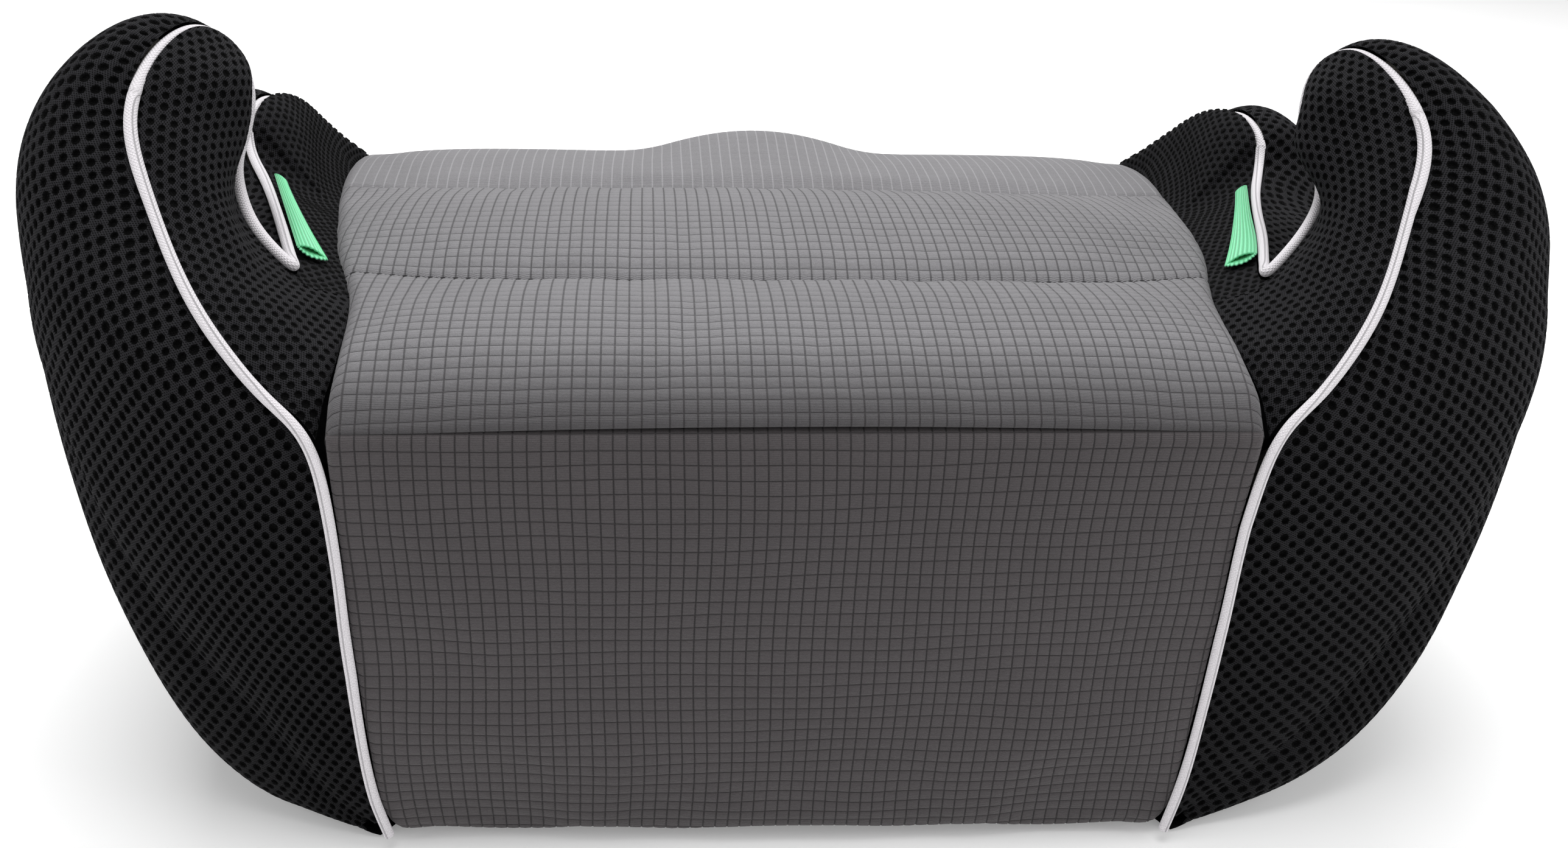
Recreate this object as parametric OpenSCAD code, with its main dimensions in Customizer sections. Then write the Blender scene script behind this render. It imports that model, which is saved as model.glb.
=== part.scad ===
// Backless booster seat: a ribbed moulded base with two armrest cores, foam padding and a sewn cover.
// The front faces -Y, +X is the sitter's left hand, and the feet stand on Z = 0. Drawn in millimetres.

/* [Overall size] */
// Width over both armrests
body_w = 460; // [400:1:520]
// Depth from the front panel to the rear panel
body_d = 304; // [270:1:340]
// Height of the armrest tops above the floor
body_h = 242; // [215:1:275]

/* [Cover] */
// Thickness of the cover fabric with its backing
fabric_t = 3; // [2:0.1:3.4]
// Diameter of the piping bead
piping_d = 3.8; // [3:0.1:4]
// Depth of the two stitched seat seams
seam_dip = 3.5; // [1:0.1:5]
// Height of the raised middle of the rear edge
rear_bump = 9; // [0:0.5:12]
// Gap between neighbouring soft layers
layer_gap = 0.3; // [0.2:0.05:0.5]

/* [Padding] */
// Thickness of the foam wrapped over each armrest core
wrap_t = 4; // [3:0.5:5]

/* [Moulded base] */
// Underside of the seat deck above the floor
deck_z = 126; // [120:1:128]
// Wall of the moulded deck
deck_t = 4; // [3:0.5:5]
// Wall of the moulded skirt
wall_t = 4; // [3:0.5:5]
// Thickness of the stiffening ribs
rib_t = 2.5; // [2:0.25:3]
// Spacing of the stiffening ribs
rib_pitch = 44; // [38:1:46]
// Clearance of the skirt above the floor
skirt_z = 7; // [6:0.5:9]

/* [Armrest cores] */
// Thickness of the upright core plate
core_t = 12; // [10:1:14]
// Inner face of the core plate from the middle of the seat
core_x = 184; // [182:1:186]
// Thickness of the foot flange that is screwed under the deck
flange_t = 6; // [4:0.5:8]
// Shank diameter of the armrest screws
screw_d = 5; // [4:0.5:6]
// Head diameter of the armrest screws
screw_head_d = 10; // [8:0.5:12]

/* [Belt tags] */
// Length of the tag along the seam
tag_l = 60; // [40:1:62]
// Width of the tag at its open lower end
tag_w = 11; // [8:0.5:12]
// Width of the tag at its closed upper end
tag_tip = 4; // [3:0.5:6]
// Thickness of the folded ribbon
tag_t = 1.8; // [1:0.1:2.2]

/* [Feet and hem] */
// Diameter of the rubber feet
foot_d = 24; // [18:1:28]
// Diameter of the elastic cord in the hem
elastic_d = 4; // [3:0.5:5]

/* [Hidden] */

// Scale from the drawn size to the chosen overall size
scale_v = [body_w / 460, body_d / 304, body_h / 242];
function sized(p) = [p[0] * scale_v[0], p[1] * scale_v[1], p[2] * scale_v[2]];

// Guide lines of the left-hand side, one point per rib: up the front corner, over the front
// horn, down into the belt notch, over the rear lobe and down the rear corner.
piping_line = [
    [124, -137, 4], [127, -141, 30], [129, -146, 75], [130, -147, 115], [135, -145, 146],
    [150, -139, 160], [166, -127, 178], [179, -108, 197], [187, -91, 218], [184, -74, 231],
    [176, -56, 235], [168, -47, 226], [166, -50, 210], [169, -60, 196], [162, -76, 184],
    [149, -88, 175], [152, -75, 174], [162, -44, 176], [172, -14, 177], [182, 10, 180],
    [184, 19, 186], [182, 34, 190], [180, 54, 185], [176, 76, 173], [169, 96, 158],
    [158, 116, 141], [146, 134, 105], [134, 142, 60], [127, 141, 25], [124, 137, 4]];
// Direction and reach of the outward bulge beside the piping
bulge_line = [
    [4, 1, 0], [14, -1, 0], [26, -3, 0], [34, -4, 2], [36, -4, 5], [34, -5, 6], [30, -6, 6],
    [24, -8, 8], [18, -10, 14], [20, -4, 26], [22, 5, 24], [22, 15, 11], [24, 17, -2], [22, 12, -4],
    [24, 4, -6], [28, 4, -6], [28, 6, -4], [26, 6, -3], [24, 4, -2], [22, 0, 3], [20, 2, 8],
    [20, 5, 8], [20, 8, 5], [20, 10, 3], [20, 12, 0], [18, 13, -2], [14, 10, 0], [10, 4, 0],
    [6, 1, 0], [3, 0, 0]];
// Direction and reach of the inner face beside the piping, from the front seam corner to the rear one
inner_reach = [
    [-4, 0, 0], [-8, 2, 1], [-14, 4, 0], [-20, 6, -2], [-26, 8, -4], [-26, 2, -4], [-18, -6, -2],
    [-10, -14, -6], [-8, -16, 4], [-8, -12, 9], [-6, -8, 7], [-8, -10, -4], [-10, 2, -4],
    [-10, 0, -5], [-12, 0, -5], [-12, 0, -4], [-12, -1, 1], [-12, -3, 6], [-12, -4, 12], [-11, -6, 11],
    [-9, -7, 8], [-5, -5, 2]];
// Widest line of the outer side
side_line = [
    [134, -133, 7], [158, -131, 34], [190, -125, 74], [207, -120, 108], [216, -113, 130],
    [221, -106, 144], [225, -98, 156], [227, -90, 166], [229, -80, 172], [230, -68, 174],
    [230, -57, 172], [230, -47, 167], [230, -39, 160], [230, -34, 154], [229, -28, 148],
    [229, -20, 142], [229, -8, 140], [228, 8, 138], [227, 22, 137], [225, 34, 137],
    [223, 44, 137], [220, 56, 136], [216, 70, 133], [210, 86, 128], [200, 104, 120],
    [186, 122, 108], [170, 132, 88], [152, 137, 55], [138, 136, 26], [130, 133, 7]];
// Depth position of each rib at the seat's side seam, from the front seam corner to the rear one
seam_at = [-146, -143, -136, -127, -118, -110, -104, -100, -97, -94, -91, -87, -74, -45, -16, 8, 20,
           34, 50, 66, 82, 104];
FIRST_INNER = 4;
LAST_INNER = FIRST_INNER + len(seam_at) - 1;
LAST = len(piping_line) - 1;
// Plan outline of the underside, half width against depth
foot_z = 1.5;
foot_half = [[-133, 128], [-125, 136], [-118, 146], [-103, 157], [-80, 164], [-40, 167], [20, 166],
             [64, 160], [96, 148], [120, 134], [133, 124]];
foot_at = [-133, -125, -118, -111, -103, -96, -88, -80, -72, -62, -54, -46, -38, -33, -28, -22, -12,
           2, 16, 28, 38, 50, 64, 80, 96, 110, 120, 127, 130, 133];
// Half width and height of the seat's side seam against depth
seam_half = [[-148, 131], [-119, 130.5], [-97, 131.5], [-79, 135], [-49, 143], [-27, 147.5],
             [26, 156], [70, 160], [92, 160], [104, 157], [122, 150]];
seam_high = [[-148, 149], [-137, 158], [-119, 164], [-97, 167], [-60, 168], [-27, 167], [26, 162],
             [60, 160], [90, 156], [104, 152], [112, 147], [122, 138]];
// Height of the seat's middle line against depth
mid_high = [[-150, 150], [-142, 157], [-125, 163], [-100, 167], [-70, 168], [-15, 169], [36, 163],
            [70, 160], [92, 157], [108, 151], [118, 145], [128, 134]];
SEAM_FRONT_Y = -70;
SEAM_REAR_Y = 36;
HEM_IN = 22;
PIPE_SIDES = 8;
// Room that the panels leave beside the middle of the piping bead
bead_gap = piping_d / 2 + layer_gap + 0.6;
// Offset of the inner panel's lower edge from the seat's side seam
seam_clear = [0.9, 0, 0.9];
EPS = 0.01;

function mix(a, b, t) = a + (b - a) * t;
function unit(v) = v / max(norm(v), EPS);
function bezier(a, b, c, d, t) =
    pow(1 - t, 3) * a + 3 * pow(1 - t, 2) * t * b + 3 * (1 - t) * t * t * c + pow(t, 3) * d;
function curve(a, b, c, d, t) =
    (2 * b + (c - a) * t + (2 * a - 5 * b + 4 * c - d) * t * t + (3 * b - a - 3 * c + d) * t * t * t) / 2;
// Smooth curve through a list of points; k counts points
function along(list, k) =
    let (last = len(list) - 1, i = min(floor(k), last - 1))
    curve(list[max(i - 1, 0)], list[i], list[i + 1], list[min(i + 2, last)], k - i);

function piping_at(k) = along(piping_line, min(max(k, 0), LAST));
function seam_point(y) = [lookup(y, seam_half), y, lookup(y, seam_high)];
function foot_point(k) = let (y = along(foot_at, k)) [lookup(y, foot_half), y, foot_z];
function hem_point(k) =
    let (f = foot_point(k), inward = unit([-f[0], -f[1] * abs(f[1] / 100), 0]))
    f + inward * HEM_IN + [0, 0, 0.5];

// Where a panel begins: square to the piping, clear of the bead, and further off at sharp corners
function beside_piping(k, reach) =
    let (before = unit(piping_at(k) - piping_at(k - 0.5)), after = unit(piping_at(k + 0.5) - piping_at(k)),
         t = unit(before + after), square = reach - (reach * t) * t)
    piping_at(k) + unit(square) * bead_gap * (2 - min(before * after, 1));

// Outer rib: from the piping over the widest line to the foot and under to the hem
function outer_rib(k, steps = 6) =
    let (e = along(bulge_line, k), c = beside_piping(k, e), w = along(side_line, k), f = foot_point(k),
         rise = max(c[2] - w[2], 8) * 0.55,
         top = w + [0, (c[1] - w[1]) * 0.25, rise],
         low = w - [0, 0, w[2] * 0.52],
         toe = f + [(w[0] - f[0]) * 0.6, (w[1] - f[1]) * 0.6, w[2] * 0.03])
    concat([for (i = [0:steps]) bezier(c, c + 0.9 * e, top, w, i / steps)],
           [for (i = [1:steps]) bezier(w, low, toe, f, i / steps)],
           [hem_point(k)]);

// Inner rib: from the seat's side seam up the horn's inner face to the piping
function inner_rib(k, steps = 7) =
    let (r = along(inner_reach, k - FIRST_INNER), c = beside_piping(k, r),
         s = seam_point(along(seam_at, k - FIRST_INNER)) + seam_clear,
         b = s + [0.45 * (c[0] - s[0]), 0.2 * (c[1] - s[1]), 0.14 * (c[2] - s[2])])
    [for (i = [steps:-1:0]) bezier(c, c + 0.9 * r, b, s, i / steps)];

// Normal of a grid of points at row i, column j; every grid runs so that it points into the seat
function grid_normal(g, i, j) =
    let (rows = len(g) - 1, cols = len(g[0]) - 1,
         u = g[min(i + 1, rows)][j] - g[max(i - 1, 0)][j],
         v = g[i][min(j + 1, cols)] - g[i][max(j - 1, 0)])
    unit(cross(u, v));
function offset_grid(g, d) =
    [for (i = [0:len(g) - 1]) [for (j = [0:len(g[0]) - 1]) g[i][j] + d * grid_normal(g, i, j)]];

// Closed sheet between two grids of the same size
module sheet(outer, inner) {
    rows = len(outer);
    cols = len(outer[0]);
    all = concat([for (r = outer) each r], [for (r = inner) each r]);
    n = rows * cols;
    function id(i, j) = i * cols + j;
    front = [for (i = [0:rows - 2]) for (j = [0:cols - 2])
        each [[id(i, j), id(i + 1, j), id(i + 1, j + 1)], [id(i, j), id(i + 1, j + 1), id(i, j + 1)]]];
    back = [for (f = front) [f[0] + n, f[2] + n, f[1] + n]];
    rim_rows = [for (i = [0:rows - 2]) each [
        [id(i, 0), id(i, 0) + n, id(i + 1, 0)], [id(i + 1, 0), id(i, 0) + n, id(i + 1, 0) + n],
        [id(i, cols - 1), id(i + 1, cols - 1), id(i, cols - 1) + n],
        [id(i + 1, cols - 1), id(i + 1, cols - 1) + n, id(i, cols - 1) + n]]];
    rim_cols = [for (j = [0:cols - 2]) each [
        [id(0, j), id(0, j + 1), id(0, j) + n], [id(0, j + 1), id(0, j + 1) + n, id(0, j) + n],
        [id(rows - 1, j), id(rows - 1, j) + n, id(rows - 1, j + 1)],
        [id(rows - 1, j + 1), id(rows - 1, j) + n, id(rows - 1, j + 1) + n]]];
    polyhedron([for (p = all) sized(p)], concat(front, back, rim_rows, rim_cols));
}

module layer(grid, near, far) {
    sheet(offset_grid(grid, near), offset_grid(grid, far));
}

// The drawn side, or its mirror image
module side(left) {
    if (left) children();
    else mirror([1, 0, 0]) children();
}

outer_grid = [for (k = [0:0.5:LAST]) outer_rib(k)];
inner_grid = [for (k = [FIRST_INNER + 0.5:0.5:LAST_INNER - 0.5]) inner_rib(k)];

// Middle layers of the seat: half width, height and channels
function seat_height(x, y) =
    let (across = abs(x) / lookup(y, seam_half),
         dip = exp(-pow((y - SEAM_FRONT_Y) / 5, 2)) + exp(-pow((y - SEAM_REAR_Y) / 5, 2)),
         bump = exp(-pow(x / 48, 2)) * exp(-pow((y - 94) / 26, 2)))
    mix(lookup(y, mid_high), lookup(y, seam_high), across * across)
        - seam_dip * dip * (1 - pow(across, 6)) + rear_bump * bump;
function eased(a, b, n) = [for (i = [0:n - 1]) mix(a, b, (1 - cos(180 * i / n)) / 2)];
SEAT_FRONT_Y = -147.4;
SEAT_REAR_Y = 127;
seat_rows = concat(eased(SEAT_FRONT_Y, SEAM_FRONT_Y, 7), eased(SEAM_FRONT_Y, SEAM_REAR_Y, 8),
                   eased(SEAM_REAR_Y, SEAT_REAR_Y, 8), [SEAT_REAR_Y]);
SEAT_COLS = 16;
foam_rows = [for (y = seat_rows) if (y > -144 && y < 121) y];
function seat_grid(inset, rows) = [for (y = rows)
    let (half = lookup(y, seam_half) - inset)
    [for (i = [0:SEAT_COLS]) let (x = mix(-half, half, i / SEAT_COLS)) [x, y, seat_height(x, y)]]];

// Front and rear panels, as height, half width and depth at the piping
front_edge = [[146.4, 129.6, -147.4], [138, 129, -147.4], [115, 127.2, -147], [75, 126.4, -146],
              [30, 124.4, -141], [10, 120, -136], [1.5, 112, -129], [2, 104, -117]];
rear_edge = [[133, 149, 127.5], [120, 147, 129], [105, 143.4, 134], [60, 131.4, 142],
             [25, 124.4, 141], [10, 120, 136], [1.5, 112, 129], [2, 104, 117]];
function panel_grid(edge, bulge, facing) = [for (k = [0:0.5:len(edge) - 1])
    let (p = along(edge, k), swell = bulge * sin(180 * min(k / 5, 1)))
    [for (i = [0:12]) let (u = mix(-1, 1, i / 12))
        [facing * u * p[1], p[2] + facing * swell * (1 - pow(abs(u), 2.5)), max(p[0], foot_z)]]];

module seat_cover() {
    color("#8c8a8d") layer(seat_grid(0.9, seat_rows), 0, fabric_t);
}

module seat_foam() {
    base_z = deck_z + deck_t + layer_gap;
    top = offset_grid(seat_grid(4.5, foam_rows), fabric_t + 2 * layer_gap);
    bottom = [for (r = top) [for (p = r) [p[0], p[1], base_z / scale_v[2]]]];
    color("#e9e4d6") sheet(top, bottom);
}

module front_panel() {
    color("#6f6d6e") layer(panel_grid(front_edge, 5, -1), 0, fabric_t);
}

module rear_panel() {
    color("#6f6d6e") layer(panel_grid(rear_edge, 10.4, 1), 0, fabric_t);
}

module outer_mesh_panel(left) {
    color("#2b2b2e") side(left) layer(outer_grid, 0, fabric_t);
}

module inner_mesh_panel(left) {
    color("#2b2b2e") side(left) layer(inner_grid, 0, fabric_t);
}

// Two foam pads folded over the piping line, one on the front horn and one on the rear lobe
module armrest_foam(left) {
    near = fabric_t + layer_gap;
    color("#efeadc") side(left) for (span = [[5.5, 8.5], [17.5, 23.5]])
        layer([for (k = [span[0]:0.5:span[1]])
            let (o = outer_rib(k)) concat(inner_rib(k), [for (j = [0:len(o) - 5]) o[j]])], near, near + wrap_t);
}

// Round cord along a list of points
module tube(path, r, closed = false) {
    n = len(path);
    function tangent(i) = unit(closed ? path[(i + 1) % n] - path[(i + n - 1) % n]
                                      : path[min(i + 1, n - 1)] - path[max(i - 1, 0)]);
    function ring(i, ref) =
        let (t = tangent(i), u = unit(cross(t, ref)), v = cross(t, u))
        [for (a = [0:360 / PIPE_SIDES:359]) path[i] + r * (cos(a) * u + sin(a) * v)];
    ref = closed ? [0, 0, 1] : [1, 0, 0];
    points = [for (i = [0:n - 1]) each ring(i, ref)];
    spans = closed ? n : n - 1;
    walls = [for (i = [0:spans - 1]) for (j = [0:PIPE_SIDES - 1])
        let (a = i * PIPE_SIDES, b = ((i + 1) % n) * PIPE_SIDES, k = (j + 1) % PIPE_SIDES)
        each [[a + j, b + j, b + k], [a + j, b + k, a + k]]];
    ends = closed ? [] : [[for (j = [0:PIPE_SIDES - 1]) j],
                          [for (j = [PIPE_SIDES - 1:-1:0]) (n - 1) * PIPE_SIDES + j]];
    polyhedron([for (p = points) sized(p)], concat(walls, ends));
}

module piping(left) {
    color("#e6e2ea") side(left) tube([for (k = [0:0.5:LAST]) piping_at(k)], piping_d / 2);
}

// Plan outline with softly squared corners
SQUARE = 4;
function plan(a, b, mid_y = 0) = [for (t = [0:7.5:359.9])
    [a * scale_v[0] * sign(cos(t)) * pow(abs(cos(t)), 2 / SQUARE),
     (mid_y + b * sign(sin(t)) * pow(abs(sin(t)), 2 / SQUARE)) * scale_v[1]]];
SKIRT_A = 138;
SKIRT_B = 126;
SKIRT_MID = -4;
DECK_A = 176;
DECK_B = 127;
DECK_MID = -6;
screw_x = 166;
screw_y = [-66, -22, 22, 66];
BOSS_D = 30;
FOOT_X = 100;
FOOT_Y = 86;
STEM_D = 12;
STEM_L = 12;
FIT = 0.2;

module at_feet() {
    for (x = [-FOOT_X, FOOT_X]) for (y = [-FOOT_Y, FOOT_Y])
        translate([x * scale_v[0], y * scale_v[1], 0]) children();
}

module at_screws() {
    for (s = [-1, 1]) for (y = screw_y)
        translate([s * screw_x * scale_v[0], y * scale_v[1], 0]) children();
}

// Injection-moulded base: a deck on a ribbed skirt, open underneath
module base_shell() {
    reach = SKIRT_A * scale_v[0];
    color("#3a3c40") difference() {
        union() {
            translate([0, 0, deck_z]) linear_extrude(deck_t) polygon(plan(DECK_A, DECK_B, DECK_MID));
            translate([0, 0, skirt_z]) linear_extrude(deck_z - skirt_z + EPS) difference() {
                polygon(plan(SKIRT_A, SKIRT_B, SKIRT_MID));
                polygon(plan(SKIRT_A - wall_t, SKIRT_B - wall_t, SKIRT_MID));
            }
            translate([0, 0, skirt_z + 14]) linear_extrude(deck_z - skirt_z - 14 + EPS) intersection() {
                polygon(plan(SKIRT_A - 1, SKIRT_B - 1, SKIRT_MID));
                union() {
                    for (i = [-2.5:1:2.5]) translate([i * rib_pitch - rib_t / 2, -reach]) square([rib_t, 2 * reach]);
                    for (i = [-2.5:1:2.5]) translate([-reach, i * rib_pitch - rib_t / 2]) square([2 * reach, rib_t]);
                }
            }
            at_feet() translate([0, 0, skirt_z + FIT]) cylinder(d = BOSS_D, h = deck_z - skirt_z, $fn = 48);
        }
        at_feet() translate([0, 0, -EPS]) cylinder(d = STEM_D + 2 * FIT, h = skirt_z + STEM_L + 1, $fn = 48);
        at_screws() translate([0, 0, deck_z - 1]) cylinder(d = screw_d + 2 * FIT, h = deck_t + 2, $fn = 32);
    }
}

// Upright moulded plate inside each armrest, in side view
core_outline = [[-98, 96], [-104, 126], [-104, 150], [-99, 170], [-93, 186], [-85, 201], [-78, 207],
                [-72, 206], [-71, 199], [-80, 188], [-87, 172], [-82, 152], [-60, 145], [0, 147],
                [16, 154], [28, 161], [44, 163], [58, 157], [72, 142], [83, 124], [86, 96]];
module armrest_core(left) {
    gusset_t = 4;
    flange_in = 150;
    color("#4a4c50") side(left) difference() {
        union() {
            translate([core_x * scale_v[0], 0, 0]) rotate([90, 0, 90]) linear_extrude(core_t)
                polygon([for (p = core_outline) [p[0] * scale_v[1], p[1] * scale_v[2]]]);
            translate([flange_in * scale_v[0], -88 * scale_v[1], deck_z - flange_t - FIT])
                cube([(core_x - flange_in) * scale_v[0] + EPS, 172 * scale_v[1], flange_t]);
            for (y = [-84, -44, 0, 44, 78]) translate([core_x * scale_v[0] + EPS, (y + gusset_t / 2) * scale_v[1], 0])
                rotate([90, 0, 0]) linear_extrude(gusset_t)
                    polygon([[0, deck_z - flange_t - FIT], [0, 98 * scale_v[2]], [-14, deck_z - flange_t - FIT]]);
        }
        for (y = screw_y) translate([screw_x * scale_v[0], y * scale_v[1], deck_z - flange_t - 2])
            cylinder(d = screw_d + 2 * FIT, h = flange_t + 4, $fn = 32);
        // Pockets that lighten the plate
        for (y = [-76, -30, 14, 58]) translate([(core_x + 4) * scale_v[0], y * scale_v[1], 128 * scale_v[2]])
            rotate([0, 90, 0]) cylinder(d = 18, h = core_t, $fn = 40);
    }
}

module armrest_screws() {
    head_h = 3.5;
    under = deck_z - flange_t - 2 * FIT;
    color("#c9ccd1") at_screws() union() {
        translate([0, 0, under - head_h]) cylinder(d = screw_head_d, h = head_h, $fn = 32);
        translate([0, 0, under - EPS]) cylinder(d = screw_d, h = flange_t + deck_t, $fn = 32);
    }
}

// Folded ribbon tag that marks the belt path, hinged on its sewn edge
TAG_HINGE = [151.6, -71, 175.8];
TAG_TURN = [-28, -2, 72.5];
module belt_tag(left) {
    color("#6ee29b") side(left) translate(sized(TAG_HINGE)) rotate([0, 0, TAG_TURN[2]])
        rotate([TAG_TURN[0], TAG_TURN[1], 0]) linear_extrude(tag_t)
            polygon([[0, 0], [tag_l, 0], [tag_l, tag_tip], [tag_l * 0.6, tag_tip + 1], [0, tag_w]]);
}

module hem_elastic() {
    inset = elastic_d / 2 + layer_gap;
    half = [for (k = [0:1:LAST]) let (h = hem_point(k), d = unit([-h[0], -h[1] * abs(h[1] / 100), 0]))
        [h[0] + d[0] * inset, h[1] + d[1] * inset, foot_z + elastic_d / 2 + 0.2]];
    color("#1d1d1f")
        tube(concat(half, [for (i = [LAST:-1:0]) [-half[i][0], half[i][1], half[i][2]]]), elastic_d / 2, true);
}

// Plastic hooks that hold the hem inside the skirt
module hem_hooks() {
    hook_w = 16;
    hook_t = 2;
    hook_h = 16;
    arm = 6;
    color("#202124") for (s = [0, 1]) mirror([s, 0, 0]) for (y = [-56, -20, 16])
        translate([(SKIRT_A - wall_t - 2.5) * scale_v[0] - hook_t, y * scale_v[1] - hook_w / 2, 3]) union() {
            cube([hook_t, hook_w, hook_h]);
            cube([arm + hook_t, hook_w, hook_t]);
        }
}

module rubber_feet() {
    color("#17181a") at_feet() union() {
        cylinder(d = foot_d, h = skirt_z, $fn = 48);
        translate([0, 0, skirt_z - EPS]) cylinder(d = STEM_D, h = STEM_L, $fn = 48);
    }
}

base_shell();
armrest_core(true);  // armrest_core_left
armrest_core(false);  // armrest_core_right
armrest_screws();
seat_foam();
armrest_foam(true);  // armrest_foam_left
armrest_foam(false);  // armrest_foam_right
seat_cover();
front_panel();
rear_panel();
inner_mesh_panel(true);  // inner_mesh_panel_left
inner_mesh_panel(false);  // inner_mesh_panel_right
outer_mesh_panel(true);  // outer_mesh_panel_left
outer_mesh_panel(false);  // outer_mesh_panel_right
piping(true);  // piping_left
piping(false);  // piping_right
belt_tag(true);  // belt_tag_left
belt_tag(false);  // belt_tag_right
hem_elastic();
hem_hooks();
rubber_feet();
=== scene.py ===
import math

import bpy
import numpy as np
from mathutils import Euler, Matrix
from mathutils.bvhtree import BVHTree


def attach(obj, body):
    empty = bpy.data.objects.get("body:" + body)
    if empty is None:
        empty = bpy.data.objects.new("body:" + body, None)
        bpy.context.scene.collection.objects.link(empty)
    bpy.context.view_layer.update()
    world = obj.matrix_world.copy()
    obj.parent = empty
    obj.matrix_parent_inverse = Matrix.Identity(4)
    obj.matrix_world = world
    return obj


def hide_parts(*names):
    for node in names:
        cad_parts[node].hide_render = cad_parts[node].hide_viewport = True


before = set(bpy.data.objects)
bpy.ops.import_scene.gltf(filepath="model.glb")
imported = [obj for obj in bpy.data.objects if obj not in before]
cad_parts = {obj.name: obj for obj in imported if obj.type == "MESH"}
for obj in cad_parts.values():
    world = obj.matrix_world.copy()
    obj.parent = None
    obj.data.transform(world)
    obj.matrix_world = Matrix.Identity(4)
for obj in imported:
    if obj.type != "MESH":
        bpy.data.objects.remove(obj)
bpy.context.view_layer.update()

# Lengths below are in millimetres until a mesh is made.
MM = 0.001
CELL = 3.85          # column pitch of the grid knit
ROWS = 21            # rows of cells in each seat channel
ROW = 4.39           # row pitch on the front and rear panels
HOLE_X, HOLE_Y = 4.6, 2.95   # lattice of the spacer mesh, every other row shifted by half
BEAD = 1.9           # radius of the piping bead
TAG_RIB = 0.92       # pitch of the green ribbon's ribs
GROOVE = 0.26        # depth of the groove between two cells of the knit

# Guide lines of the left-hand (+X) side, one point per rib, as the frame was drawn.
PIPING = [
    [124, -137, 4], [128.5, -141, 30], [131, -146, 75], [131.5, -147, 115], [135.5, -145, 146],
    [150, -139, 160], [166, -127, 178], [179, -108, 197], [187.5, -91, 218], [184.5, -74, 232.5],
    [176, -56, 237.5], [167, -47, 227], [166, -50, 210], [169, -60, 196], [162, -76, 184],
    [149, -88, 175], [152, -75, 174], [162, -44, 176], [172, -14, 177], [182, 10, 180],
    [184, 19, 189], [182, 34, 193], [180, 54, 187], [176, 76, 173], [169, 96, 158],
    [158, 116, 141], [146, 134, 105], [134, 142, 60], [127, 141, 25], [124, 137, 4]]
BULGE = [
    [4, 1, 0], [14, -1, 0], [26, -3, 0], [34, -4, 2], [36, -4, 5], [34, -5, 6], [30, -6, 6],
    [24, -8, 6], [19, -10, 8], [21, -4, 13], [22, 5, 12], [22, 15, 7], [24, 17, -2],
    [22, 12, -4], [24, 4, -6], [28, 4, -6], [28, 6, -4], [26, 6, -3], [24, 4, -2], [22, 0, 3],
    [20, 2, 8], [20, 5, 8], [20, 8, 5], [20, 10, 3], [20, 12, 0], [18, 13, -2], [14, 10, 0],
    [10, 4, 0], [6, 1, 0], [3, 0, 0]]
REACH = [
    [-4, 0, 0], [-8, 2, 1], [-14, 4, 0], [-20, 6, -2], [-26, 8, -4], [-26, 2, -4],
    [-18, -6, -2], [-14, -10, 0], [-12, -12, 0], [-10, -12, 0], [-8, -12, 0], [-8, -10, -4],
    [-10, 2, -4], [-10, 0, -5], [-12, 0, -5], [-12, 0, -5], [-12, -1, -3], [-12, -3, -1],
    [-12, -4, 7], [-11, -6, 11], [-9, -7, 8], [-5, -5, 2]]
WIDEST = [
    [134, -133, 7], [158, -131, 34], [190, -125, 74], [207, -120, 108], [216, -113, 130],
    [221, -106, 144], [225, -98, 156], [227, -90, 166], [229, -80, 172], [230, -68, 174],
    [230, -57, 172], [230, -47, 167], [230, -39, 160], [230, -34, 154], [229, -28, 148],
    [229, -20, 142], [229, -8, 140], [228, 8, 138], [227, 22, 137], [225, 34, 137],
    [223, 44, 137], [220, 56, 136], [216, 70, 133], [210, 86, 128], [200, 104, 120],
    [186, 122, 108], [170, 132, 88], [152, 137, 55], [138, 136, 26], [130, 133, 7]]
SEAM_Y = [-146, -143, -136, -127, -118, -110, -104, -100, -97, -94, -91, -87, -74, -45,
          -16, 8, 20, 34, 50, 66, 82, 104]
FIRST, LAST = 4, 29
FOOT_HALF = [[-133, 128], [-125, 136], [-118, 146], [-103, 157], [-80, 164],
             [-40, 167], [20, 166], [64, 160], [96, 148], [120, 134], [133, 124]]
FOOT_Y = [-133, -125, -118, -111, -103, -96, -88, -80, -72, -62, -54, -46, -38, -33,
          -28, -22, -12, 2, 16, 28, 38, 50, 64, 80, 96, 110, 120, 127, 130, 133]
SEAM_HALF = [[-148, 131], [-119, 130.5], [-97, 131.5], [-79, 135], [-49, 143],
             [-27, 147.5], [26, 156], [70, 160], [92, 160], [104, 157], [122, 150]]
SEAM_HIGH = [[-148, 149], [-137, 158], [-119, 164], [-97, 167], [-60, 168], [-27, 167],
             [26, 162], [60, 160], [90, 156], [104, 152], [112, 147], [122, 138]]
MID_HIGH = [[-150, 150], [-142, 157], [-125, 163], [-100, 167], [-70, 168], [-15, 169],
            [36, 163], [70, 160], [92, 157], [108, 151], [118, 145], [128, 134]]
SEAMS = (-147.4, -70.0, 36.0, 127.0)     # front seam, two stitched seams, rear seam
FRONT_EDGE = [[149, 131, -147.8], [138, 131, -147.6], [115, 130.2, -147.4],
              [75, 129.6, -146.4], [30, 127, -141.5], [10, 124.4, -137],
              [1.6, 119, -130], [1.6, 109, -117]]
REAR_EDGE = [[135, 150, 127], [120, 147.5, 129.5], [105, 144, 134.4], [60, 132.2, 142.2],
             [25, 125.4, 141.3], [10, 121, 136.3], [1.6, 113, 129], [1.6, 104, 117]]
FOOT_Z = 1.2         # height of the cover's lowest edge
HEM_IN = 22.0        # width of the strip that turns in under the base


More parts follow.
